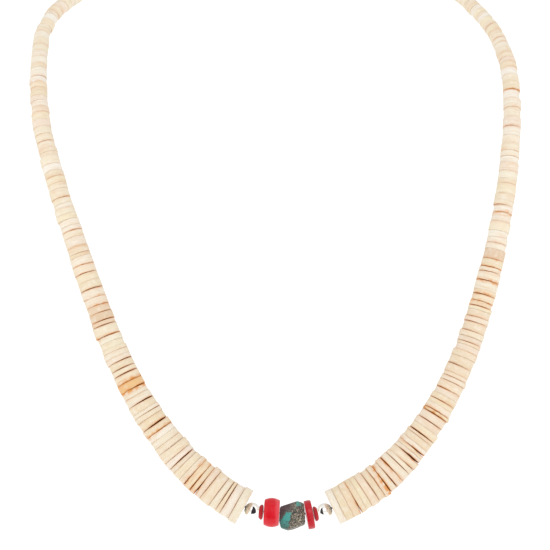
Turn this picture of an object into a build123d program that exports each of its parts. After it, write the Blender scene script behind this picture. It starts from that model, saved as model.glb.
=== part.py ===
from build123d import *
import math
import os

os.makedirs("parts", exist_ok=True)

# Shell necklace: two graduated strings of drilled shell discs, with silver, red coral and
# turquoise beads between them at the front, on one thread that closes in a barrel clasp.
# Millimetres, +Z up. The origin is the point of the nape that the clasp lies against, +Y points
# backwards and +X is the right-hand side of the necklace as it is seen from the front.

# Thread
thread_diameter = 0.6
hole_diameter = 1.3            # drilled through every disc and bead
disc_gap = 0.12                # least space between neighbouring shell discs
bead_gap = 0.05                # space between the beads at the front, which lie closer

# Shell discs, listed from the front of the necklace towards the clasp
largest_disc = 9.5             # diameter
graduation = [                 # share of the string's length, share of the largest disc
    (0.00, 1.00),
    (0.05, 0.97),
    (0.12, 0.85),
    (0.20, 0.73),
    (0.30, 0.66),
    (0.40, 0.58),
    (0.50, 0.53),
    (0.60, 0.48),
    (0.70, 0.43),
    (1.00, 0.41),
]
left_thicknesses = [
    2.1, 2.1, 0.8, 1.6, 2.5, 1.6, 1.2, 1.6, 1.3, 1.7, 1.0, 1.4, 2.2, 1.5, 1.6, 1.5, 1.7, 2.0, 1.1, 0.9,
    1.9, 1.8, 1.9, 1.9, 2.0, 1.3, 1.8, 1.2, 1.3, 0.9, 1.5, 1.5, 2.6, 1.1, 2.0, 1.8, 2.1, 2.2, 1.9, 2.1,
]
right_thicknesses = [
    1.8, 1.8, 1.8, 1.1, 1.2, 1.8, 1.7, 1.4, 1.4, 1.5, 1.9, 1.0, 1.8, 1.0, 0.9, 1.1, 1.6, 0.7, 1.7, 1.6,
    2.0, 0.7, 1.4, 1.1, 1.4, 1.5, 2.0, 1.1, 1.0, 2.0, 2.2, 1.5, 1.4, 0.7, 1.3, 1.3, 2.3, 1.2, 1.7, 0.8,
    1.2, 1.7, 1.0, 2.4, 2.2, 1.1, 2.0, 2.5, 1.4, 1.4, 1.6, 2.3, 2.3, 1.8, 1.0, 1.7, 2.6, 1.1, 1.9, 2.1,
    1.6, 1.4, 1.8, 2.2, 2.2, 2.4, 2.6, 2.3, 2.5, 2.4,
]
cut_shares = [1.0, 0.985, 1.01, 0.975, 1.0, 0.99, 1.015]     # hand-ground discs differ a little
lean_shares = [0.0, 0.0, 1.0, 1.0, 1.0, -0.6, -0.6, 0.4, 0.4, -1.0, 0.2]
nod_shares = [0.0, 0.5, 0.5, -0.7, -0.7, -0.7, 0.3, 0.3, 1.0]
shift_shares = [0.0, 0.6, -0.4, 1.0, -0.8]
greatest_lean = 0.8            # degrees that a disc leans or nods off the run of the thread
greatest_shift = 0.14          # how far a disc hangs off the middle of the thread

# Silver and coral beads
silver_diameter = 4.1
silver_length = 4.05           # a neighbour's hole lets the round bead in a little
small_coral_diameter = 4.0
small_coral_length = 0.85
small_coral_bevel = 0.3        # along its length
small_coral_slope = 2.2        # how many times further the bevel reaches in from its rim
rondelle_diameter = 7.4
rondelle_length = 4.0
rondelle_bulge = 0.25          # how far its side domes out past its ends
rondelle_edge = 0.35
rondelle_lift = 0.25           # its middle sits this far above the thread, in the play of its hole
coral_disc_diameter = 7.5
coral_disc_length = 1.8
coral_disc_edge = 0.3
coral_disc_lean = -5.0         # degrees off the run of the thread
coral_disc_drop = 0.15         # its middle hangs this far below the thread
small_coral_drop = 0.25        # and so does the middle of the small coral beside it

# Turquoise nugget, ground to flat facets: length along the thread, height across it in the
# plane of the necklace, depth from front to back
nugget_length = 6.55
nugget_height = 7.5
nugget_depth = 6.4
nugget_drop = 0.5              # its middle hangs this far below its hole
nugget_corner = 0.7
nugget_end = 1.2               # width of the flats at its ends, which its neighbours lie against
nugget_outline = [             # share of the length, share of the height, upwards
    (-0.50, 0.28),
    (0.14, 0.50),
    (0.40, 0.46),
    (0.50, -0.26),
    (-0.14, -0.50),
    (-0.42, -0.44),
    (-0.50, -0.20),
]
nugget_facets = [              # direction along the thread, upwards, forwards; share of half the depth
    (-0.30, 0.62, 0.72, 0.98),
    (-0.62, -0.24, 0.75, 0.94),
    (0.52, 0.36, 0.78, 1.00),
    (0.30, -0.62, 0.72, 1.00),
    (-0.45, 0.50, -0.74, 0.98),
    (0.50, 0.40, -0.77, 1.00),
    (-0.40, -0.55, -0.73, 0.98),
    (0.55, -0.40, -0.73, 0.98),
]

# Barrel clasp
clasp_diameter = 4.8
clasp_length = 12.0
clasp_edge = 1.4
clasp_socket = 3.0             # depth of the hole that each end of the thread goes into
thread_end_gap = 0.2

# Route of the thread as the necklace is worn, from the left end of the clasp round the front
loop_width = 130.0
loop_depth = 95.0              # from the clasp's axis forwards to the front beads
loop_drop = 131.0              # from the clasp's axis down to the front beads
clasp_axis = clasp_diameter / 2
thread_end = clasp_length / 2 - clasp_socket + thread_end_gap
route_shares = [               # of the width to the right, the depth forwards, the drop
    (-0.154, 0.000, 0.000),
    (-0.292, 0.062, 0.021),
    (-0.392, 0.183, 0.058),
    (-0.465, 0.307, 0.107),
    (-0.472, 0.436, 0.176),
    (-0.463, 0.562, 0.276),
    (-0.430, 0.658, 0.381),
    (-0.368, 0.769, 0.546),
    (-0.304, 0.857, 0.704),
    (-0.238, 0.916, 0.817),
    (-0.167, 0.954, 0.905),
    (-0.092, 0.983, 0.962),
    (-0.032, 0.998, 0.993),
    (0.016, 1.000, 0.995),
    (0.063, 1.002, 0.998),
    (0.109, 0.999, 0.993),
    (0.167, 0.987, 0.966),
    (0.242, 0.962, 0.918),
    (0.328, 0.917, 0.818),
    (0.392, 0.854, 0.698),
    (0.439, 0.776, 0.559),
    (0.475, 0.675, 0.406),
    (0.492, 0.555, 0.270),
    (0.490, 0.447, 0.181),
    (0.462, 0.331, 0.120),
    (0.393, 0.188, 0.058),
    (0.292, 0.062, 0.021),
    (0.154, 0.000, 0.000),
]
run_share = 0.45               # of the shorter run beside a corner, taken up by the corner's arc
front_share = 0.5003           # where the front beads have their middle, along the thread


def corner_radius(before, corner, after):
    """Radius of the arc that eases one corner of the route."""
    run_in, run_out = corner - before, after - corner
    half_turn = math.radians(run_in.get_angle(run_out)) / 2
    return run_share * min(run_in.length, run_out.length) / math.tan(half_turn)


def on_route(right, forwards, down):
    return Vector(loop_width * right, clasp_axis - loop_depth * forwards, -loop_drop * down)


points = [Vector(-thread_end, clasp_axis, 0)]
points += [on_route(*shares) for shares in route_shares]
points += [Vector(thread_end, clasp_axis, 0)]
radii = [corner_radius(*points[k - 1:k + 2]) for k in range(1, len(points) - 1)]
path = FilletPolyline(*points, radius=radii)
loop_middle = sum(points, Vector(0, 0, 0)) / len(points)


class Strung:
    """A disc or bead on the thread, with its place and how far it reaches. A round bead has no
    diameter here, because it rolls on the face of its neighbour."""

    def __init__(self, length, diameter, lean=0.0, nod=0.0, shift=0.0):
        self.length = length
        self.diameter = diameter
        self.turn = Rot(nod, lean, 0)
        self.shift = Pos(shift, 0, 0)
        self.distance = 0.0

    def place(self):
        """Its middle, with z along the thread and x outwards in the plane of the necklace."""
        share = self.distance / path.length
        here, along = path @ share, path % share
        outwards = here - loop_middle
        seat = Plane(here, x_dir=outwards - along * outwards.dot(along), z_dir=along)
        return seat.location * self.shift * self.turn

    def axis(self):
        return Plane(self.place()).z_dir

    def reach(self, direction, width):
        """Half its extent along a direction, within a width across the thread."""
        if not self.diameter:
            return self.length / 2
        straight = min(abs(self.axis().dot(direction)), 1.0)
        return (self.length * straight + width * math.sqrt(1 - straight ** 2)) / 2

    def follow(self, neighbour, step, gap):
        """Slide up to the neighbour until only the gap is left, going the way of the step."""
        spacing = (self.length + neighbour.length) / 2 + gap
        width = min(self.diameter, neighbour.diameter)
        for _ in range(2):
            self.distance = neighbour.distance + step * spacing
            faces = [bead.axis() for bead in (self, neighbour) if bead.diameter]
            parting = sum(faces, Vector(0, 0, 0)).normalized()
            spacing = self.reach(parting, width) + neighbour.reach(parting, width) + gap
        self.distance = neighbour.distance + step * spacing


def disc_diameter(share):
    """Diameter of the shell discs at a share of the string's length, between the listed ones."""
    for (low, size), (high, next_size) in zip(graduation, graduation[1:]):
        if share <= high:
            return largest_disc * (size + (next_size - size) * (share - low) / (high - low))
    return largest_disc * graduation[-1][1]


def cycle(values, k):
    return values[k % len(values)]


def lay_discs(bead, step, thicknesses, end, gap, count=None):
    """Shell discs threaded outwards from a bead: a given count of them, or as many as end
    before the clasp. Returns them with the length of thread that is left bare."""
    discs, neighbour, room = [], bead, abs(end - bead.distance)
    while count is None or len(discs) < count:
        k = len(discs)
        disc = Strung(
            cycle(thicknesses, k),
            disc_diameter(abs(neighbour.distance - bead.distance) / room) * cycle(cut_shares, k),
            greatest_lean * cycle(lean_shares, k),
            greatest_lean * cycle(nod_shares, k),
            greatest_shift * cycle(shift_shares, k),
        )
        disc.follow(neighbour, step, gap)
        if count is None and step * (end - disc.distance) < disc.length / 2 + gap:
            break
        discs.append(disc)
        neighbour = disc
    return discs, step * (end - neighbour.distance) - neighbour.length / 2 - gap


def fill_string(bead, step, thicknesses, end):
    """One whole string, its discs spread evenly over the length between a bead and the clasp."""
    discs, slack = lay_discs(bead, step, thicknesses, end, disc_gap)
    gap = disc_gap + slack / (len(discs) + 1)
    return lay_discs(bead, step, thicknesses, end, gap, len(discs))[0]


def drilled(solid, length):
    return solid - Cylinder(hole_diameter / 2, 2 * length)


def shell_disc(disc):
    blank = Circle(disc.diameter / 2) - Circle(hole_diameter / 2)
    return disc.place() * extrude(blank, disc.length / 2, both=True)


def silver_bead():
    return drilled(Sphere(silver_diameter / 2), silver_diameter)


def small_coral():
    """A small disc bevelled on both sides."""
    blank = Cylinder(small_coral_diameter / 2, small_coral_length)
    bevelled = chamfer(blank.edges(), small_coral_bevel, small_coral_bevel * small_coral_slope)
    return drilled(bevelled, small_coral_length)


def coral_rondelle():
    """A thick bead whose side domes out a little between rounded edges."""
    end_radius = rondelle_diameter / 2 - rondelle_bulge
    half = rondelle_length / 2
    side = ThreePointArc((end_radius, -half), (rondelle_diameter / 2, 0), (end_radius, half))
    rest = Polyline((end_radius, half), (0, half), (0, -half), (end_radius, -half))
    bead = revolve(Plane.XZ * make_face([side, rest]), Axis.Z)
    rims = bead.edges().filter_by(GeomType.CIRCLE).filter_by(lambda e: e.radius > hole_diameter)
    return drilled(fillet(rims, rondelle_edge), rondelle_length)


def coral_disc():
    blank = Cylinder(coral_disc_diameter / 2, coral_disc_length)
    return drilled(fillet(blank.edges(), coral_disc_edge), coral_disc_length)


def turquoise_nugget():
    """A block with the stone's outline, ground to facets in front and behind, then drilled.

    The bead's z lies along the thread, its x downwards and its y to the back."""
    corners = [(-up * nugget_height, along * nugget_length) for along, up in nugget_outline]
    face = fillet(Polygon(*corners, align=None).vertices(), nugget_corner)
    block = extrude(Plane.XZ * face, nugget_depth / 2, both=True)
    for along, up, forward, share in nugget_facets:
        facing = Vector(-up, -forward, along).normalized()
        cut = Plane(facing * share * nugget_depth / 2, z_dir=facing)
        block = split(block, bisect_by=cut, keep=Keep.BOTTOM)
    return drilled(Pos(nugget_drop, 0, 0) * block, nugget_length)


def barrel_clasp():
    """Closed screw barrel with a blind hole in each end for the thread."""
    barrel = Cylinder(clasp_diameter / 2, clasp_length)
    barrel = fillet(barrel.edges().filter_by(GeomType.CIRCLE), clasp_edge)
    for end in (-1, 1):
        middle = end * (clasp_length - clasp_socket) / 2
        barrel -= Pos(0, 0, middle) * Cylinder(hole_diameter / 2, clasp_socket)
    return Pos(0, clasp_axis, 0) * Rot(0, 90, 0) * barrel


# Front beads in their order on the thread: node, bead, solid
front = [
    ("silver_bead_left", Strung(silver_length, 0), silver_bead()),
    ("small_coral_left", Strung(small_coral_length, small_coral_diameter), small_coral()),
    ("coral_rondelle", Strung(rondelle_length, rondelle_diameter, shift=-rondelle_lift),
     coral_rondelle()),
    ("turquoise_nugget", Strung(nugget_length, nugget_end), turquoise_nugget()),
    ("coral_disc", Strung(coral_disc_length, coral_disc_diameter, coral_disc_lean,
                          shift=coral_disc_drop), coral_disc()),
    ("small_coral_right", Strung(small_coral_length, small_coral_diameter, coral_disc_lean,
                                 shift=small_coral_drop), small_coral()),
    ("silver_bead_right", Strung(silver_length, 0), silver_bead()),
]
front_length = sum(bead.length + bead_gap for _, bead, _ in front) - bead_gap
front[0][1].distance = path.length * front_share - (front_length - silver_length) / 2
for (_, before, _), (_, bead, _) in zip(front, front[1:]):
    bead.follow(before, 1, bead_gap)
nodes = {name: bead.place() * solid for name, bead, solid in front}

string_end = clasp_socket - thread_end_gap
left = fill_string(front[0][1], -1, left_thicknesses, string_end)
right = fill_string(front[-1][1], 1, right_thicknesses, path.length - string_end)
nodes["shell_discs_left"] = Compound([shell_disc(disc) for disc in left])
nodes["shell_discs_right"] = Compound([shell_disc(disc) for disc in right])

nodes["thread"] = sweep(Plane(path @ 0, z_dir=path % 0) * Circle(thread_diameter / 2), path=path)
nodes["clasp"] = barrel_clasp()

for name, shape in nodes.items():
    export_step(shape, f"parts/{name}.step")

section = math.pi * thread_diameter ** 2 / 4
print("thread", round(path.length, 1), "mm, volume over section times length",
      round(nodes["thread"].volume / (section * path.length), 4))
print("arc radii", [round(r, 1) for r in radii])
print("discs", len(left), "left and", len(right), "right")
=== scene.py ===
import math
import random

import bmesh
import bpy
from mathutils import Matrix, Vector, noise


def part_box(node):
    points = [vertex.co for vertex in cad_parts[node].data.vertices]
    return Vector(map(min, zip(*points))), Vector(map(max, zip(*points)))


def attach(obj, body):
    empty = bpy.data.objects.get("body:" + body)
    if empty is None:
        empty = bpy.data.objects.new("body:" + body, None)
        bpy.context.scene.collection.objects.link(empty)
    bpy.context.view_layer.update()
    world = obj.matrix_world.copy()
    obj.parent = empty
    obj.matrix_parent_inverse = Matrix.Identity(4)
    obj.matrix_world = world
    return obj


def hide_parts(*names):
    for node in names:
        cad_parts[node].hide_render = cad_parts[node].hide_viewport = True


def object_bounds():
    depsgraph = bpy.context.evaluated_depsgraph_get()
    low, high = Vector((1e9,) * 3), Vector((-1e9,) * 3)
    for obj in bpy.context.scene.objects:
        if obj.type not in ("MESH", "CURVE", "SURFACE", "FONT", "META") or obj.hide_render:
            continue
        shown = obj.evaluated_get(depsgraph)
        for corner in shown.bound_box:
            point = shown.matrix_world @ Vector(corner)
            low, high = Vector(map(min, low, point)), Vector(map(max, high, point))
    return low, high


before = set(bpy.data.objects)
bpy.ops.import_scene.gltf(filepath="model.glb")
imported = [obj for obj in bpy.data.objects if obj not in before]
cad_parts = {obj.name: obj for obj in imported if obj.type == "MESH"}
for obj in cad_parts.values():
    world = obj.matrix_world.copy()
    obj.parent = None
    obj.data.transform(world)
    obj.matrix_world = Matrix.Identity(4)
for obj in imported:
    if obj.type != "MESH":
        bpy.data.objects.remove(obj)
cad_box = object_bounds()

# Camera. It looks down on the front beads from straight ahead with a long lens, so the front
# and both sides of the necklace fill the picture and its back lies above the picture's edge.
mm = 0.001
front_middle = Vector((1.5, -93.0, -131.0)) * mm
camera_distance = 700 * mm
camera_rise = 61.8 * mm          # the middle of the picture lies this far above the front beads
look_down = math.radians(15)
picture_side = 550
focal_pixels = 2730
sensor = 36
nearest_seen = 10 * mm

look = Vector((0, math.cos(look_down), -math.sin(look_down)))
upwards = Vector((0, math.sin(look_down), math.cos(look_down)))
camera = bpy.data.objects.new("camera", bpy.data.cameras.new("camera"))
bpy.context.scene.collection.objects.link(camera)
camera.data.sensor_width = sensor
camera.data.lens = sensor * focal_pixels / picture_side
camera.data.clip_start = nearest_seen
camera.location = front_middle - look * camera_distance + upwards * camera_rise
camera.rotation_euler = (math.radians(90) - look_down, 0, 0)
bpy.context.scene.camera = camera

# Studio. A white sheet lies well below the necklace and runs on to the horizon, so nothing
# but white is behind it. A soft lamp close by on each side brightens the strings' outer edges,
# and a wide one above the camera lights their fronts.
sheet_drop = 60 * mm             # below the lowest bead
sheet_side = 8.0
sheet_white = (0.8, 0.8, 0.8, 1)
sheet_glow = 0.36
surround = 0.89
lamps = [                        # name, place, width and height in metres, watts
    ("lamp_left", (-0.19, -0.13, -0.02), (0.12, 0.26), 0.036),
    ("lamp_right", (0.19, -0.13, -0.02), (0.12, 0.26), 0.036),
    ("lamp_front", (0.0, -0.75, 0.55), (0.6, 0.4), 1.45),
]
lamp_aim = Vector((0, -0.06, -0.07))


class Value:
    """A socket whose sums and products add Math nodes to its own tree."""

    def __init__(self, socket):
        self.socket = socket

    def maths(self, operation, *terms, clamp=False):
        tree = self.socket.id_data
        node = tree.nodes.new("ShaderNodeMath")
        node.operation = operation
        node.use_clamp = clamp
        for slot, term in zip(node.inputs, terms):
            if isinstance(term, Value):
                tree.links.new(term.socket, slot)
            else:
                slot.default_value = term
        return Value(node.outputs[0])

    def __add__(self, other):
        return self.maths("ADD", self, other)

    def __sub__(self, other):
        return self.maths("SUBTRACT", self, other)

    def __rsub__(self, other):
        return self.maths("SUBTRACT", other, self)

    def __mul__(self, other):
        return self.maths("MULTIPLY", self, other)

    def size(self):
        return self.maths("ABSOLUTE", self)

    def clamped(self):
        return self.maths("ADD", self, 0.0, clamp=True)

    def step(self, low, high):
        """0 below the low value and 1 above the high one, with a straight slope between."""
        return self.maths("MULTIPLY", self - low, 1 / (high - low), clamp=True)

    __radd__ = __add__


class Finish:
    """A material, with one method that adds any node but a Math node."""

    def __init__(self, name, constants=()):
        self.material = bpy.data.materials.new(name)
        self.material.use_nodes = True
        self.tree = self.material.node_tree
        self.surface = self.tree.nodes["Principled BSDF"]
        for socket, value in dict(constants).items():
            self.surface.inputs[socket].default_value = value

    def add(self, kind, settings=(), sockets=(), output=0):
        node = self.tree.nodes.new("ShaderNode" + kind)
        for setting, value in dict(settings).items():
            setattr(node, setting, value)
        for socket, value in dict(sockets).items():
            self.join(node.inputs[socket], value)
        return Value(node.outputs[output])

    def join(self, socket, value):
        if isinstance(value, Value):
            self.tree.links.new(value.socket, socket)
        else:
            socket.default_value = value

    def noise(self, vector, scale, detail=2.0, roughness=0.5):
        return self.add("TexNoise", {}, {
            "Vector": vector, "Scale": scale, "Detail": detail, "Roughness": roughness})

    def mix(self, share, below, above):
        """One colour over another, by a share from 0 to 1. A Mix node has its colours' sockets
        at 6 and 7, after those for numbers and vectors, and its colour output at 2."""
        below, above = [c if isinstance(c, Value) else (*c, 1) for c in (below, above)]
        return self.add("Mix", {"data_type": "RGBA"}, {0: share, 6: below, 7: above}, output=2)

    def stretched(self, vector, scales):
        return self.add("VectorMath", {"operation": "MULTIPLY"}, {0: vector, 1: scales})

    def bump(self, height, depth, strength=1.0):
        return self.add("Bump", {}, {"Height": height, "Distance": depth, "Strength": strength})

    def wear(self, **channels):
        """Feed the surface: base_color=..., roughness=..., normal=..."""
        for channel, value in channels.items():
            socket = channel.replace("_", " ").title()
            self.join(self.surface.inputs[socket], value)


sheet_finish = Finish("white_sheet", {
    "Base Color": sheet_white, "Roughness": 0.9, "Specular IOR Level": 0.1,
    "Emission Color": (1, 1, 1, 1), "Emission Strength": sheet_glow})
bpy.ops.mesh.primitive_plane_add(size=sheet_side, location=(0, 0, cad_box[0].z - sheet_drop))
sheet = bpy.context.object
sheet.name = "sheet"
sheet.data.materials.append(sheet_finish.material)

for lamp_name, place, (width, height), watts in lamps:
    lamp = bpy.data.lights.new(lamp_name, "AREA")
    lamp.shape = "RECTANGLE"
    lamp.size, lamp.size_y = width, height
    lamp.energy = watts
    stand = bpy.data.objects.new(lamp_name, lamp)
    bpy.context.scene.collection.objects.link(stand)
    stand.location = place
    stand.rotation_euler = (lamp_aim - stand.location).to_track_quat("-Z", "Y").to_euler()
    stand.visible_camera = False

world = bpy.data.worlds.new("surround")
world.use_nodes = True
world.node_tree.nodes["Background"].inputs["Color"].default_value = (1, 1, 1, 1)
world.node_tree.nodes["Background"].inputs["Strength"].default_value = surround
bpy.context.scene.world = world
bpy.context.scene.view_settings.view_transform = "Standard"

# Shell discs. Each string is a run of drilled discs cut from pale shell, strung tight and
# then ground together by hand, so the rims run on from disc to disc with small steps. Old
# stain and dirt darken the joints that stand open, with painted shade on the faces and edges
# inside them, and rust-coloured stain runs into some discs.
random.seed(7)
loop_middle = (cad_box[0] + cad_box[1]) / 2
rim_sides_least = 28             # sides of the smallest disc's rim
rim_sides_per_mm = 4.0           # and more of them with its diameter
edge_least, edge_most = 0.02 * mm, 0.12 * mm
end_edge = 0.4 * mm              # rounding of the rim beside a silver bead
edge_share_most = 0.3            # of a disc's length, taken up by an edge with its chip
corner = 0.29                    # of an edge, by which the middle of its rounding stands in
rim_wander = 0.006               # how far a rim strays from round, as a share of its radius
wander_waves = (2, 3, 5)         # times that it strays in and out on its way round
rim_gain = 0.04                  # how much larger than its blank a front disc may be, as a share
rim_loss = 0.08                  # and how much smaller than the largest it may be ground
slip = 0.18 * mm                 # how far a disc hangs off its neighbours
chip_depth = 0.2 * mm
chip_width = 0.5 * mm
chipped = 0.3                    # share of the edges that have a chip
tight_joint = 0.008 * mm         # from a closed joint's plane to the disc on each side
wider = 1.3                      # than the tables have it, of every joint that stands open
open_stray = 25                  # degrees that an open joint's widest side strays
open_narrows = 3.0               # the higher, the shorter the stretch of rim where it is open
closed_stain_and_shade = 0.1               # share of a joint's stain and painted shade on its closed side
face_ring = 0.75                 # of the rim's reach, where the faces have a ring of points
face_soil = 0.3                  # dirt and painted shade on the faces in a joint
ring_dirt_and_shade, corner_dirt_and_shade, edge_dirt_and_shade = 0.6, 0.85, 0.5     # of a joint's stain and painted shade, outwards from the ring
rust_of_stain_and_shade = 0.6                 # of a joint's stain and painted shade, that makes its dirt and shade rustier
side_rows = (0.12, 0.3, 0.5, 0.7, 0.88)      # rows of points along a disc's side
rust_bleed = 1.1 * mm            # how far rust stain runs along a disc from its joint
stain_and_shade_bleed = 0.4 * mm           # and how far the edge of any other stain and painted shade does
stain_and_shade_tint = 0.5                 # of a joint's stain and painted shade, that shows as rust there
rust_all_round, rust_one_side = 0.55, 0.45   # shares of a joint's rust round its rim
grain_lean = 0.1                 # how far the shell's layers lean off a disc's faces
grain_apart = 90                 # mm of shell that two discs may come from, apart
worn_until = 110                 # mm from the silver beads, where the discs are less stained and their joints carry less painted shade
yellowing = (0.01, 0.05, 0.11)   # what the discs next to the silver beads lose of each colour
faint_stains_and_shade = [0.0, 0.0, 0.1, 0.15, 0.2, 0.35]
least_stain_and_shade, worn_stain_and_shade = 0.3, 0.9           # of a faint stain and painted shade, at the back and added by wear
rust_least, rust_worn = 0.45, 0.4            # the same for rust
tone_stray = (0.985, 1.01)       # how far a disc's colour strays from its tone
same_place = 0.0001 * mm         # points nearer than this are one point
never_near = 1e9                 # distance of a joint that no row of the tables may choose
tones = {                        # colour of the shell, how common it is
    "cream": ((0.79, 0.70, 0.545), 8),
    "ivory": ((0.80, 0.735, 0.61), 6),
    "sand": ((0.765, 0.66, 0.49), 5),
    "blush": ((0.785, 0.68, 0.56), 4),
    "straw": ((0.795, 0.705, 0.52), 4),
    "white": ((0.82, 0.78, 0.69), 2),
    "biscuit": ((0.69, 0.53, 0.38), 0),
    "tan": ((0.73, 0.58, 0.43), 0),
    "orange": ((0.77, 0.50, 0.23), 0),
}
joints_left = [          # mm from the silver bead, mm open, degrees forwards from outwards, stain and painted shade, rust
    (4.4, 0.05, 90, 0.3, 0.0), (6.7, 0.13, 90, 0.9, 0.0), (7.7, 0.12, 90, 0.8, 0.1),
    (9.6, 0.07, 90, 0.4, 0.1), (12.3, 0.09, 90, 0.5, 0.2), (14.2, 0.24, 20, 1.0, 0.4),
    (15.6, 0.14, 20, 0.8, 1.0), (17.5, 0.14, 40, 0.8, 0.7), (21.0, 0.03, 90, 0.3, 0.0),
    (22.2, 0.18, 90, 1.0, 0.0), (23.8, 0.05, 90, 0.3, 0.2), (26.2, 0.06, 90, 0.4, 0.0),
    (31.4, 0.07, 90, 0.5, 0.9), (33.3, 0.25, 90, 1.0, 0.2), (36.8, 0.15, 90, 0.8, 0.1),
    (37.9, 0.07, 90, 0.5, 0.0), (40.0, 0.21, 90, 1.0, 0.0), (44.1, 0.14, 90, 0.8, 1.5),
    (46.2, 0.05, 90, 0.4, 1.6), (48.4, 0.14, 90, 0.8, 0.1), (49.9, 0.11, 90, 0.7, 0.0),
    (51.9, 0.12, 90, 0.8, 0.0), (59.3, 0.10, 90, 0.7, 0.8), (62.1, 0.12, 90, 0.7, 0.1),
    (63.4, 0.13, 90, 0.8, 0.3), (65.6, 0.07, 90, 0.5, 0.2), (67.5, 0.04, 90, 0.5, 0.6),
    (72.1, 0.09, 90, 0.6, 0.3), (77.6, 0.09, 90, 0.6, 0.4), (79.0, 0.03, 90, 0.4, 0.5),
    (88.5, 0.06, 90, 0.5, 0.4), (97.7, 0.04, 90, 0.4, 0.4), (103.8, 0.03, 90, 0.3, 0.3),
    (113.3, 0.03, 90, 0.3, 0.2), (134.2, 0.04, 90, 0.4, 0.2),
]
joints_right = [         # the same columns
    (4.1, 0.03, 90, 0.2, 0.0), (8.1, 0.24, 10, 0.9, 0.6), (10.9, 0.04, 90, 0.3, 0.2),
    (13.0, 0.08, 90, 0.6, 0.1), (15.0, 0.06, 90, 0.4, 0.3), (16.7, 0.16, 40, 0.6, 2.2),
    (18.5, 0.15, 10, 0.9, 0.2), (20.4, 0.13, 90, 0.9, 0.6), (22.6, 0.10, 90, 0.6, 0.1),
    (23.9, 0.12, 10, 0.7, 0.3), (26.0, 0.28, 10, 1.0, 0.1), (28.3, 0.24, 30, 0.9, 0.7),
    (31.5, 0.03, 90, 0.3, 0.1), (32.4, 0.18, 90, 1.0, 0.1), (36.2, 0.11, 90, 0.7, 0.2),
    (38.5, 0.14, 90, 0.8, 0.7), (39.3, 0.09, 90, 0.6, 0.8), (42.3, 0.07, 90, 0.5, 0.4),
    (45.8, 0.08, 90, 0.6, 0.5), (47.8, 0.06, 90, 0.4, 0.3), (49.1, 0.05, 90, 0.4, 0.2),
    (52.5, 0.10, 90, 0.6, 0.1), (59.1, 0.06, 90, 0.5, 0.3), (62.1, 0.06, 90, 0.4, 0.3),
    (64.6, 0.07, 90, 0.5, 0.2), (66.0, 0.05, 90, 0.4, 0.4), (68.9, 0.10, 90, 0.7, 0.5),
    (70.3, 0.06, 90, 0.5, 0.6), (72.2, 0.10, 90, 0.7, 0.5), (76.0, 0.10, 90, 0.7, 0.9),
    (78.4, 0.08, 90, 0.5, 0.3), (79.7, 0.08, 90, 0.6, 0.9), (82.7, 0.04, 90, 0.6, 0.5),
    (86.2, 0.03, 90, 0.3, 0.3), (94.6, 0.04, 90, 0.4, 0.8), (96.6, 0.03, 90, 0.3, 0.3),
    (117.7, 0.05, 90, 0.6, 0.3), (129.8, 0.02, 90, 0.3, 0.8), (145.7, 0.04, 90, 0.4, 0.2),
    (150.6, 0.04, 90, 0.4, 0.2),
]
chosen_left = [                  # mm from the silver bead, tone of the disc there
    (45.0, "orange"), (62.8, "tan"), (64.5, "biscuit"), (66.5, "tan"), (106.9, "white"),
]
chosen_right = [
    (3.0, "white"), (5.0, "sand"), (7.0, "sand"), (42.9, "sand"), (50.8, "sand"), (54.0, "sand"),
    (56.0, "sand"), (58.0, "sand"), (63.4, "sand"), (67.5, "sand"), (82.3, "biscuit"), (127.5, "white"),
]


class Disc:
    """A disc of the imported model, read back from its mesh."""

    def __init__(self, faces):
        points = list({v: v.co.copy() for f in faces for v in f.verts}.values())
        self.middle = sum(points, Vector()) / len(points)
        areas = {}
        for face in faces:
            way = tuple(round(c, 3) for c in face.normal)
            areas[way] = areas.get(way, 0) + face.calc_area()
        self.axis = Vector(max(areas, key=areas.get)).normalized()
        heights = [(p - self.middle).dot(self.axis) for p in points]
        reaches = [(p - self.middle - self.axis * h).length for p, h in zip(points, heights)]
        self.length = max(heights) - min(heights)
        self.radius, self.hole = max(reaches), min(reaches)


def discs_in(node, start):
    """The discs of a node in their order from a point, each with its axis the way they run."""
    mesh = bmesh.new()
    mesh.from_mesh(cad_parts[node].data)
    bmesh.ops.remove_doubles(mesh, verts=mesh.verts, dist=same_place)
    mesh.normal_update()
    unseen = dict.fromkeys(mesh.faces)
    loose = []
    while unseen:
        island, reached = [], [unseen.popitem()[0]]
        while reached:
            face = reached.pop()
            island.append(face)
            for beside in [f for e in face.edges for f in e.link_faces]:
                if beside in unseen:
                    del unseen[beside]
                    reached.append(beside)
        loose.append(Disc(island))
    mesh.free()
    ordered, here = [], start
    while loose:
        nearest = min(loose, key=lambda disc: (disc.middle - here).length)
        loose.remove(nearest)
        if nearest.axis.dot(nearest.middle - here) < 0:
            nearest.axis.negate()
        ordered.append(nearest)
        here = nearest.middle
    return ordered


def middle_of(node):
    low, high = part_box(node)
    return (low + high) / 2


def nearest_to(items, distance):
    return min(items, key=lambda item: abs(item.distance - distance))


def attribute(mesh, name, kind, field, values):
    """Write one value per vertex into a named attribute."""
    layer = mesh.attributes.new(name, kind, "POINT")
    flat = [c for value in values for c in value] if kind != "FLOAT" else values
    layer.data.foreach_set(field, flat)


def object_from(name, vertices, faces, finish):
    mesh = bpy.data.meshes.new(name)
    mesh.from_pydata(vertices, [], faces)
    mesh.shade_smooth()
    mesh.materials.append(finish.material)
    piece = bpy.data.objects.new(name, mesh)
    bpy.context.scene.collection.objects.link(piece)
    return piece


def wear_at(distance):
    """How worn the string is, from 1 at the silver bead down to 0."""
    return max(0.0, 1 - distance / worn_until)


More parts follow.
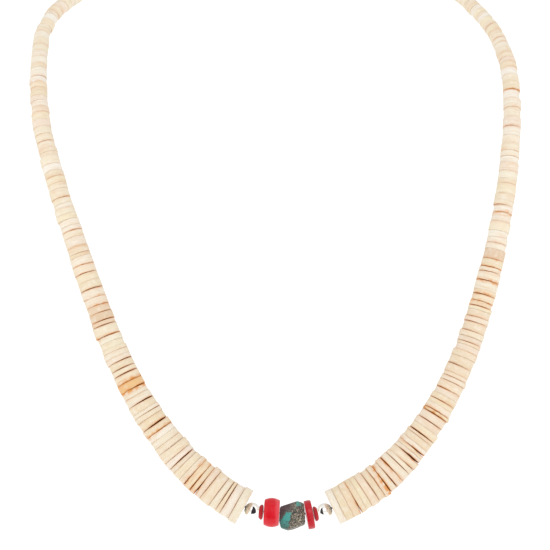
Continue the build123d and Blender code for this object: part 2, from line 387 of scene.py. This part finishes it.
class Joint:
    """The parting plane between two neighbours on a string, and how far it stands open."""

    def __init__(self, point, way, distance):
        self.point, self.way, self.distance = point, way, distance
        self.face_soil, self.edge_most = face_soil, edge_most
        self.width, self.open_way = 0.0, random.uniform(0, math.tau)
        self.stain_and_shade = random.choice(faint_stains_and_shade) * (least_stain_and_shade + worn_stain_and_shade * wear_at(distance))
        self.rust = random.random() ** 2 * (rust_least + rust_worn * wear_at(distance))


def joints_of(discs, bead_middle):
    """The joints of a string from its bead to the clasp, one more than it has discs."""
    run, here = 0.0, bead_middle
    joints, before = [], None
    for disc in discs:
        run += (disc.middle - here).length
        here = disc.middle
        disc.distance = run / mm
        low = disc.middle - disc.axis * disc.length / 2
        if before is None:
            joints.append(Joint(low, disc.axis, 0.0))
        else:
            high = before.middle + before.axis * before.length / 2
            distance = (disc.distance + before.distance + (before.length - disc.length) / 2 / mm) / 2
            joints.append(Joint((low + high) / 2, (before.axis + disc.axis).normalized(), distance))
        before = disc
    joints.append(Joint(here + before.axis * before.length / 2, before.axis, never_near))
    return joints


class Ground:
    """The mesh of a whole string as it grows, with its vertices' attributes."""

    def __init__(self):
        self.vertices, self.faces = [], []
        self.layers, self.tones, self.soil, self.rust = [], [], [], []

    def grind(self, disc, joints, colour):
        """Add one disc between its two joints."""
        out = disc.middle - loop_middle
        out = (out - disc.axis * out.dot(disc.axis)).normalized()
        front = out.cross(disc.axis)
        if front.y > 0:
            front.negate()
        turn = random.uniform(0, math.tau)
        middle = disc.middle + (out * math.cos(turn) + front * math.sin(turn)) * slip * random.random()
        radius = disc.radius * (1 + rim_gain * wear_at(disc.distance) - rim_loss * random.random())
        phases = [random.uniform(0, math.tau) for _ in range(3)]
        edges = [random.uniform(edge_least, joint.edge_most) for joint in joints]
        chips = [(random.uniform(0, math.tau),
                  chip_depth * random.random() * (random.random() < chipped)) for _ in joints]
        rust_turns = [random.uniform(0, math.tau) for _ in joints]
        lean = [random.uniform(-grain_lean, grain_lean) for _ in range(2)]
        offset = Vector([random.uniform(0, grain_apart) for _ in range(3)])
        sides = int(rim_sides_least + rim_sides_per_mm * disc.radius / mm)
        first = len(self.vertices)
        for s in range(sides):
            angle = math.tau * s / sides
            spoke = out * math.cos(angle) + front * math.sin(angle)
            wander = sum(math.sin(n * angle + phase) / n for n, phase in zip(wander_waves, phases))
            rim = radius * (1 + rim_wander * wander)
            ends = []
            for inwards, joint, edge, (chip_at, chip) in zip((1, -1), joints, edges, chips):
                from_chip = math.remainder(angle - chip_at, math.tau) * rim / chip_width
                edge = min(edge + chip * max(0.0, 1 - from_chip ** 2), disc.length * edge_share_most)
                opening = (0.5 + 0.5 * math.cos(angle - joint.open_way)) ** open_narrows
                stain_and_shade = joint.stain_and_shade * (closed_stain_and_shade + (1 - closed_stain_and_shade) * opening)
                joint_rust = joint.rust + stain_and_shade * rust_of_stain_and_shade
                end = []
                # The faces and edges at a joint carry its dirt and painted shade, more where it stands
                # open.
                for reach, depth, soil in (
                        (disc.hole, 0, joint.face_soil),
                        (rim * face_ring, 0, joint.face_soil + ring_dirt_and_shade * stain_and_shade),
                        (rim - edge, 0, stain_and_shade),
                        (rim - edge * corner, edge * corner, corner_dirt_and_shade * stain_and_shade),
                        (rim, edge, edge_dirt_and_shade * stain_and_shade)):
                    point = middle + spoke * reach
                    to_plane = (joint.point - point).dot(joint.way) / disc.axis.dot(joint.way)
                    half_open = tight_joint + joint.width / 2 * opening * reach / rim
                    end.append((reach, to_plane + inwards * (half_open + depth), soil, joint_rust))
                ends.append(end)
            low, high = ends[0][-1][1], ends[1][-1][1]
            side = []
            for share in side_rows:
                along = low + (high - low) * share
                rust = 0.0
                for joint, at, rust_turn in zip(joints, (low, high), rust_turns):
                    fade = max(0.0, 1 - abs(along - at) / rust_bleed)
                    around = rust_all_round + rust_one_side * math.cos(angle - rust_turn)
                    rust += joint.rust * fade * around
                    rust += joint.stain_and_shade * stain_and_shade_tint * max(0.0, 1 - abs(along - at) / stain_and_shade_bleed)
                side.append((rim, along, 0.0, rust))
            strip = ends[0] + side + ends[1][::-1]
            for reach, along, soil, rust in strip:
                self.vertices.append(middle + spoke * reach + disc.axis * along)
                flat = (reach * math.cos(angle) / mm, reach * math.sin(angle) / mm)
                leaning = along / mm + flat[0] * lean[0] + flat[1] * lean[1]
                self.layers.append(offset + Vector((leaning, *flat)))
                self.tones.append((*colour, 1))
                self.soil.append(soil)
                self.rust.append(rust)
        rows = len(strip)
        clockwise = disc.axis.dot(out.cross(front)) < 0
        for s in range(sides):
            here, beside = first + s * rows, first + (s + 1) % sides * rows
            for row in range(rows):
                after = (row + 1) % rows
                face = (here + row, here + after, beside + after, beside + row)
                self.faces.append(face if clockwise else face[::-1])


def string_of_shell(node, bead, open_joints, chosen, finish):
    discs = discs_in(node, middle_of(bead))
    joints = joints_of(discs, middle_of(bead))
    joints[0].face_soil = joints[0].stain_and_shade = joints[0].rust = 0.0
    joints[0].edge_most = end_edge
    for disc, (middle, radius) in zip(discs[1:-1], [
            ((a.middle + b.middle * 2 + c.middle) / 4, (a.radius + b.radius * 2 + c.radius) / 4)
            for a, b, c in zip(discs, discs[1:], discs[2:])]):
        disc.middle, disc.radius = middle, radius
    for distance, width, way, stain_and_shade, rust in open_joints:
        joint = nearest_to(joints, distance)
        joint.width, joint.stain_and_shade, joint.rust = width * wider * mm, stain_and_shade, rust
        joint.open_way = math.radians(way + random.uniform(-open_stray, open_stray))
    common = [name for name, (_, weight) in tones.items() for _ in range(weight)]
    for disc in discs:
        disc.tone = random.choice(common)
    for distance, name in chosen:
        nearest_to(discs, distance).tone = name
    ground = Ground()
    for k, disc in enumerate(discs):
        worn = wear_at(disc.distance)
        colour = [c * random.uniform(*tone_stray) * (1 - loss * worn)
                  for c, loss in zip(tones[disc.tone][0], yellowing)]
        ground.grind(disc, joints[k:k + 2], colour)
    piece = object_from(node + "_ground", ground.vertices, ground.faces, finish)
    attribute(piece.data, "layers", "FLOAT_VECTOR", "vector", ground.layers)
    attribute(piece.data, "tone", "FLOAT_COLOR", "color", ground.tones)
    attribute(piece.data, "soil", "FLOAT", "value", ground.soil)
    attribute(piece.data, "rust", "FLOAT", "value", ground.rust)
    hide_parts(node)
    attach(piece, "root")
    return discs


shell = Finish("hand_ground_shell", {"Specular IOR Level": 0.35})
grain = shell.add("Attribute", {"attribute_name": "layers"}, output="Vector")
tone = shell.add("Attribute", {"attribute_name": "tone"}, output="Color")
soil = shell.add("Attribute", {"attribute_name": "soil"}, output="Fac")
rust = shell.add("Attribute", {"attribute_name": "rust"}, output="Fac")
bands = shell.noise(shell.stretched(grain, (2.2, 0.15, 0.15)), 1.0, 3.0, 0.6)
streaks = shell.noise(shell.stretched(grain, (6.0, 0.35, 0.35)), 1.0, 3.0, 0.65)
mottle = shell.noise(grain, 0.7, 3.0, 0.6)
pores = shell.noise(grain, 7.0, 2.0, 0.5)
warm = shell.mix(bands.step(0.50, 0.72) * 0.6, tone, (0.72, 0.53, 0.34))
pale = shell.mix(mottle.step(0.48, 0.68) * 0.5, warm, (0.84, 0.79, 0.70))
lined = shell.mix(streaks.step(0.52, 0.66) * 0.35, pale, (0.66, 0.44, 0.24))
rusty = shell.mix((rust * (streaks.step(0.40, 0.62) * 0.6 + mottle.step(0.42, 0.6) * 0.7)).clamped(),
                  lined, (0.68, 0.28, 0.06))
# Dirt and painted shade in the joints: dark brown on the faces and edges there stands in for the shade
# inside the gaps as well as for dirt.
dirt_and_shade_brown = shell.mix(soil.step(0.3, 0.9), (0.50, 0.17, 0.04), (0.29, 0.075, 0.012))
rusty_dirt_and_shade = shell.mix(rust.clamped(), dirt_and_shade_brown, (0.52, 0.16, 0.022))
dirtied_and_shaded = shell.mix((soil * (mottle + 0.6)).clamped(), rusty, rusty_dirt_and_shade)
shell.wear(base_color=dirtied_and_shaded, roughness=0.38 + mottle * 0.25,
           normal=shell.bump(streaks * 0.6 + pores * 0.4, 0.015 * mm, 0.5))

left_discs = string_of_shell("shell_discs_left", "silver_bead_left", joints_left, chosen_left, shell)
right_discs = string_of_shell("shell_discs_right", "silver_bead_right", joints_right, chosen_right,
                              shell)

# Silver beads. Two small balls of polished silver, drilled and strung, one at each end of the
# group of front beads. They mirror the discs beside them, and a dark card and a white tent that
# only mirrors see.
turned_sides = 72
bore_reach = 1.5                 # times its hole's reach, within which a bead isn't ground
hole_radius = 0.65 * mm
ball_steps = 32
ball_lip = 0.05 * mm             # rounding at the hole's rim
card_place = Vector((2.0, -92.5, -131.0)) * mm - look * 11 * mm
card_size = 24 * mm
card_corners = ((-0.45, -0.4), (0.45, -0.4), (0.15, 0.75), (-0.15, 0.75))    # of its size, across, up
tent_radius = 1.6
tent_glow = 0.94
tent_behind = (0.84, 0.84, 0.84)
tent_back = (0.3, 1.2)           # metres behind the clasp, between which it grows dimmer


def turned(node, disc, profile, finish, wobble=0.0, shade=0.0):
    """A bead lathed round a disc's axis: the profile holds (reach, distance along) from the
    hole's low end round the outside to its high end. Wobble grinds it a little out of round,
    and shade darkens it."""
    out = disc.axis.orthogonal().normalized()
    front = disc.axis.cross(out)
    phase = random.uniform(0, math.tau)
    vertices, faces, layers = [], [], []
    for s in range(turned_sides):
        angle = math.tau * s / turned_sides
        spoke = out * math.cos(angle) + front * math.sin(angle)
        ground_off = wobble * (1 + math.sin(3 * angle + phase) * math.sin(2 * angle)) / 2
        for reach, along in profile:
            if reach > disc.hole * bore_reach:
                reach *= 1 - ground_off
            vertices.append(disc.middle + spoke * reach + disc.axis * along)
            layers.append((spoke * reach + disc.axis * along) / mm)
    rows = len(profile)
    for s in range(turned_sides):
        here, beside = s * rows, (s + 1) % turned_sides * rows
        for row in range(rows):
            after = (row + 1) % rows
            faces.append((here + row, beside + row, beside + after, here + after))
    piece = object_from(node + "_turned", vertices, faces, finish)
    attribute(piece.data, "layers", "FLOAT_VECTOR", "vector", layers)
    attribute(piece.data, "shade", "FLOAT", "value", [shade] * len(vertices))
    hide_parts(node)
    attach(piece, "root")
    return piece


def arc(reach, along, radius, first, last, steps):
    """Points round a middle at (reach, along), by angles from outwards (0) to the high end (90)."""
    turns = [math.radians(first + (last - first) * k / steps) for k in range(steps + 1)]
    return [(reach + radius * math.cos(turn), along + radius * math.sin(turn)) for turn in turns]


def disc_of(node):
    """The single bead of a node, read back from its mesh."""
    mesh = bmesh.new()
    mesh.from_mesh(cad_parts[node].data)
    mesh.normal_update()
    bead = Disc(list(mesh.faces))
    mesh.free()
    return bead


silver = Finish("polished_silver", {"Base Color": (0.955, 0.925, 0.875, 1), "Metallic": 1.0})
scratches = silver.noise(silver.add("Attribute", {"attribute_name": "layers"}, output="Vector"), 2.0)
silver.wear(roughness=0.03 + scratches * 0.06)

for side, first_disc in (("left", left_discs[0]), ("right", right_discs[0])):
    ball = disc_of("silver_bead_" + side)
    ball.middle = middle_of("silver_bead_" + side)
    ball.axis = (ball.middle - first_disc.middle).normalized()
    ball_radius = (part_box("silver_bead_" + side)[1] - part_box("silver_bead_" + side)[0]).z / 2
    ball.hole = hole_radius
    tip = math.acos((hole_radius + ball_lip) / ball_radius)
    lip_at = ball_radius * math.sin(tip) - ball_lip
    skin = arc(0, 0, ball_radius, -math.degrees(tip), math.degrees(tip), ball_steps)
    turned("silver_bead_" + side, ball, skin + [(hole_radius, lip_at), (hole_radius, -lip_at)],
           silver)

card_finish = Finish("dark_card", {"Base Color": (0.02, 0.018, 0.03, 1), "Roughness": 0.9})
card = object_from("card", [card_place + Vector((card_size * x, 0, 0)) + upwards * card_size * z
                            for x, z in card_corners], [(0, 1, 2, 3)], card_finish)
tent_finish = Finish("white_tent", {
    "Base Color": (0, 0, 0, 1), "Specular IOR Level": 0.0, "Emission Strength": tent_glow})
tent_spot = tent_finish.add("TexCoord", output="Object")
behind = tent_finish.add("SeparateXYZ", {}, {"Vector": tent_spot}, output=1).step(*tent_back)
tent_finish.wear(emission_color=tent_finish.mix(behind, (1, 1, 1), tent_behind))
bpy.ops.mesh.primitive_uv_sphere_add(radius=tent_radius)
tent = bpy.context.object
tent.name = "tent"
tent.data.materials.append(tent_finish.material)
for only_mirrored in (card, tent):
    only_mirrored.visible_camera = False
    only_mirrored.visible_diffuse = False
    only_mirrored.visible_shadow = False

# Coral beads. The rondelle is a thick bead cut from red coral with a slightly domed side, the
# disc is thin and flat, and the two small ones are bevelled to a lens and lie against the
# silver. All are drilled, polished and strung.
dome_rows = (0.06, 0.2, 0.35, 0.5, 0.65, 0.8, 0.94)
edge_steps = 4
lens = [                         # share of the radius, share of half the length towards the ball
    (0.6, -1.0), (0.8, -0.85), (0.94, -0.45), (0.99, -0.15), (1.0, 0.15), (0.98, 0.55),
    (0.93, 0.95), (0.84, 1.4), (0.74, 1.7), (0.66, 1.78),
]
cup_reach, cup_depth = 0.48, 0.162 * mm      # the hollow that the ball lies in
coral = Finish("red_coral", {"Specular IOR Level": 0.27})
spot = coral.add("Attribute", {"attribute_name": "layers"}, output="Vector")
cloud = coral.noise(spot, 0.35, 3.0, 0.6)
pits = coral.noise(spot, 3.5, 2.0, 0.6)
deep = coral.mix(cloud.step(0.35, 0.65), (0.60, 0.006, 0.014), (0.68, 0.014, 0.028))
flecked = coral.mix(pits.step(0.60, 0.75) * 0.25, deep, (0.70, 0.07, 0.07))
shade = coral.add("Attribute", {"attribute_name": "shade"}, output="Fac")
# Painted highlight: each coral bead is painted paler pink towards its right end, standing in for a
# lamp's sheen there.
across = coral.add("SeparateXYZ", {}, {"Vector": spot}, output=0)
with_painted_highlight = coral.mix((across + cloud * 0.8).step(1.1, 1.8) * 0.85, flecked, (0.72, 0.075, 0.09))
coral.wear(base_color=coral.mix(shade, with_painted_highlight, (0.33, 0.010, 0.018)),
           roughness=0.12 + cloud * 0.12, normal=coral.bump(pits, 0.03 * mm, 0.4))


def cut_coral(node, domed, edge, wobble, shade):
    """A coral bead, by how far its side domes and the rounding of its edges."""
    bead = disc_of(node)
    half, radius = bead.length / 2, bead.radius
    shoulder = radius - domed
    profile = [(bead.hole, edge / 2 - half), (bead.hole + edge / 2, -half)]
    profile += arc(shoulder - edge, edge - half, edge, -90, -25, edge_steps)
    profile += [(radius - domed * (share * 2 - 1) ** 2, (half - edge) * (share * 2 - 1))
                for share in dome_rows]
    profile += arc(shoulder - edge, half - edge, edge, 25, 90, edge_steps)
    profile += [(bead.hole + edge / 2, half), (bead.hole, half - edge / 2)]
    piece = turned(node, bead, profile, coral, wobble, shade)
    piece.visible_glossy = False


cut_coral("coral_rondelle", domed=0.38 * mm, edge=0.4 * mm, wobble=0.03, shade=0.0)
cut_coral("coral_disc", domed=0.04 * mm, edge=0.25 * mm, wobble=0.03, shade=0.5)
for side in ("left", "right"):
    bead = disc_of("small_coral_" + side)
    bead.middle = middle_of("small_coral_" + side)
    if bead.axis.dot(middle_of("silver_bead_" + side) - bead.middle) < 0:
        bead.axis.negate()
    half = bead.length / 2
    profile = [(bead.hole, -half)]
    profile += [(bead.radius * reach, half * share) for reach, share in lens]
    profile += [(bead.radius * cup_reach, half + cup_depth), (bead.hole, half)]
    small = turned("small_coral_" + side, bead, profile, coral, wobble=0.05, shade=0.6)
    small.visible_glossy = False

# Turquoise nugget. A tumbled lump of turquoise in dark brown matrix, ground to rough facets
# and drilled, strung in the middle. A blue patch runs down its left, and beige flecks cross
# its right half.
nugget_grid = 0.11 * mm
nugget_smoothing = 4
nugget_pits = 0.08 * mm
pit_sizes = ((0.55, 0.6), (1.7, 0.4))        # pits to a mm, share of their depth
nugget_left, nugget_right = 1.02, 1.07       # each half is lengthened on to the coral beside it
nugget_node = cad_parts["turquoise_nugget"]
nugget_middle = middle_of("turquoise_nugget")
run_way = (middle_of("silver_bead_right") - middle_of("silver_bead_left")).normalized()
rough = bpy.data.objects.new("turquoise_nugget_rough", nugget_node.data.copy())
bpy.context.scene.collection.objects.link(rough)
rough.matrix_world = nugget_node.matrix_world
grid = rough.modifiers.new("grid", "REMESH")
grid.mode = "VOXEL"
grid.voxel_size = nugget_grid
soften = rough.modifiers.new("soften", "SMOOTH")
soften.iterations = nugget_smoothing
bpy.context.view_layer.update()
even = rough.evaluated_get(bpy.context.evaluated_depsgraph_get()).to_mesh()
vertices = []
for vertex in even.vertices:
    place = vertex.co - nugget_middle
    lumps = sum(noise.noise(place / mm * per_mm) * share for per_mm, share in pit_sizes)
    ahead = place.dot(run_way)
    ahead *= (nugget_right if ahead > 0 else nugget_left) - 1
    vertices.append(vertex.co + run_way * ahead - vertex.normal * nugget_pits * (0.5 + 0.5 * lumps))
nugget_faces = [tuple(face.vertices) for face in even.polygons]
rough.to_mesh_clear()
bpy.data.objects.remove(rough)

stone = Finish("turquoise_in_matrix", {"Specular IOR Level": 0.5})
within = stone.add("Attribute", {"attribute_name": "layers"}, output="Vector")
along = stone.add("SeparateXYZ", {}, {"Vector": within}, output=0)
up = stone.add("SeparateXYZ", {}, {"Vector": within}, output=1)
clouds = stone.noise(within, 0.9, 4.0, 0.6)
grit = stone.noise(within, 3.2, 4.0, 0.7)
fine = stone.noise(within, 3.0, 2.0, 0.5)
cracks = stone.add("TexVoronoi", {"feature": "DISTANCE_TO_EDGE"}, {"Vector": within, "Scale": 1.6})
brown = stone.mix(grit.step(0.42, 0.58), (0.022, 0.019, 0.017), (0.11, 0.095, 0.075))
flecks = fine.step(0.53, 0.58) * (along * 0.2 + 0.6).clamped()
matrix = stone.mix(flecks, brown, (0.42, 0.35, 0.245))
purple = stone.mix((up * 0.5 - along * 0.55 + clouds * 2 - 2.2).clamped(), matrix,
                   (0.06, 0.022, 0.03))
off_band = (along + 0.9) * 0.94 - (up - 1.2) * 0.34 + 0.2 + (clouds - 0.5) * 1.6
on_patch = (1 - (off_band.size() + up * 0.14).step(0.75, 1.0)) * (1 - up.step(1.6, 2.1))
blue = stone.mix((up * 0.4 + 0.4 + grit).clamped(), (0.033, 0.13, 0.10), (0.047, 0.35, 0.31))
specks = stone.mix(1 - grit.step(0.38, 0.44), blue, (0.01, 0.02, 0.05))
patched = stone.mix(on_patch, purple, specks)
rim_green = clouds.step(0.48, 0.56) * up.step(2.2, 2.8) * along.step(0.5, 1.1)
greened = stone.mix(rim_green, patched, (0.07, 0.30, 0.25))
stone.wear(base_color=greened, roughness=0.30 + grit * 0.3,
           normal=stone.bump(grit * 0.6 + cracks.step(0.0, 0.05) * 0.4, 0.05 * mm, 0.6))
nugget = object_from("turquoise_nugget_tumbled", vertices, nugget_faces, stone)
attribute(nugget.data, "layers", "FLOAT_VECTOR", "vector",
          [((v - nugget_middle).dot(run_way) / mm, (v - nugget_middle).z / mm,
            -(v - nugget_middle).y / mm) for v in vertices])
nugget.visible_glossy = False
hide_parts("turquoise_nugget")
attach(nugget, "root")

# Clasp. A plain turned barrel of polished silver that closes the loop at its back. It unscrews
# in the middle, where a fine seam runs round it, and each half holds one end of the thread.
seam = 0.06 * mm
barrel_edge = 1.4 * mm
socket_depth = 3.0 * mm
clasp = disc_of("clasp")
clasp.middle = middle_of("clasp")
clasp.axis = Vector((1, 0, 0))
half = (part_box("clasp")[1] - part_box("clasp")[0]).x / 2
barrel = (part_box("clasp")[1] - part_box("clasp")[0]).z / 2
clasp.hole = hole_radius
profile = [(0.0, socket_depth - half), (hole_radius, socket_depth - half), (hole_radius, -half)]
profile += arc(barrel - barrel_edge, barrel_edge - half, barrel_edge, -90, 0, 10)
profile += [(barrel, -seam), (barrel - seam, 0.0), (barrel, seam)]
profile += arc(barrel - barrel_edge, half - barrel_edge, barrel_edge, 0, 90, 10)
profile += [(hole_radius, half), (hole_radius, half - socket_depth), (0.0, half - socket_depth)]
turned("clasp", clasp, profile, silver)

# Thread. Two plies of brown waxed thread, twisted together. It runs through every disc and
# bead and into both ends of the clasp.
ply_radius = 0.155 * mm
ply_offset = 0.135 * mm          # of a ply's middle from the thread's
ply_pitch = 2.4 * mm
ply_sides = 6
thread_step = 0.6 * mm
thread_in = 2.8 * mm             # how far each end goes into the clasp
strung_beads = ["silver_bead_left", "small_coral_left", "coral_rondelle", "coral_disc",
                "small_coral_right", "silver_bead_right"]
clasp_reach = Vector((half - thread_in, 0, 0))
stops = [clasp.middle - clasp_reach]
stops += [disc.middle for disc in reversed(left_discs)]
stops += [middle_of(bead) for bead in strung_beads]
stops += [disc.middle for disc in right_discs]
stops += [clasp.middle + clasp_reach]
eased = [(a + b * 2 + c) / 4 for a, b, c in zip(stops, stops[1:], stops[2:])]
stops = [stops[0], *eased, stops[-1]]

waxed = Finish("waxed_thread", {"Specular IOR Level": 0.4})
fibres = waxed.noise(waxed.add("TexCoord", output="Object"), 3500.0, 3.0, 0.6)
waxed.wear(base_color=waxed.mix(fibres.step(0.4, 0.65), (0.15, 0.095, 0.055), (0.26, 0.175, 0.11)),
           roughness=0.45 + fibres * 0.2, normal=waxed.bump(fibres, 0.02 * mm, 0.5))
vertices, faces = [], []
for ply in range(2):
    first, run = len(vertices), 0.0
    for before, after in zip(stops, stops[1:]):
        way = (after - before).normalized()
        out = before - loop_middle
        out = (out - way * out.dot(way)).normalized()
        front = way.cross(out)
        steps = max(1, round((after - before).length / thread_step))
        for step in range(steps):
            here = before.lerp(after, step / steps)
            turn = math.tau * run / ply_pitch + math.pi * ply
            heart = here + (out * math.cos(turn) + front * math.sin(turn)) * ply_offset
            for side in range(ply_sides):
                angle = math.tau * side / ply_sides
                vertices.append(heart + (out * math.cos(angle) + front * math.sin(angle)) * ply_radius)
            run += (after - before).length / steps
    for ring in range(first, len(vertices) - ply_sides, ply_sides):
        for side in range(ply_sides):
            here, beside = ring + side, ring + (side + 1) % ply_sides
            faces.append((here, beside, beside + ply_sides, here + ply_sides))
    faces.append(tuple(range(first, first + ply_sides))[::-1])
    faces.append(tuple(range(len(vertices) - ply_sides, len(vertices))))
thread = object_from("thread_twisted", vertices, faces, waxed)
thread.visible_glossy = False
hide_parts("thread")
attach(thread, "root")
